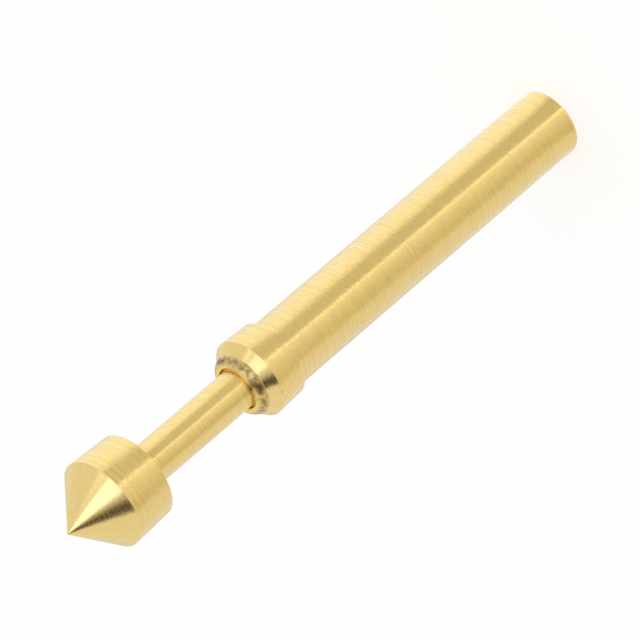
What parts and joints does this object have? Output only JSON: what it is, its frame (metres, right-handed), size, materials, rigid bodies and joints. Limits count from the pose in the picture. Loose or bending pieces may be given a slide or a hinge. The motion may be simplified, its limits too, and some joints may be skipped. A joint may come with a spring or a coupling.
{
  "type": "pogo pin",
  "caption": "Gold-plated spring contact pin: a plunger with a cone-tipped head slides in a collared barrel against a coil spring.",
  "frame": {"origin": "on the pin's axis, in the plane of the collar's rear face, which seats on the plate or board that holds the pin", "axes": "+Z along the axis towards the contact tip, +X and +Y across it, both free because the pin is round"},
  "size_m": [0.0026, 0.0026, 0.0195],
  "materials": {
    "barrel_plating": "satin turned gold plating",
    "plunger_plating": "satin turned gold plating",
    "spring_wire": "drawn stainless wire"
  },
  "bodies": {
    "barrel": {"barrel": "barrel_plating", "spring": "spring_wire"},
    "plunger": {"plunger": "plunger_plating"}
  },
  "joints": [
    {"name": "plunger_stroke", "type": "slide", "parent": "barrel", "child": "plunger", "axis": [0, 0, -1], "range_m": [0, 0.0036], "stiffness_N_per_m": 194, "springref_m": -0.0012, "deforming": ["spring"]}
  ]
}
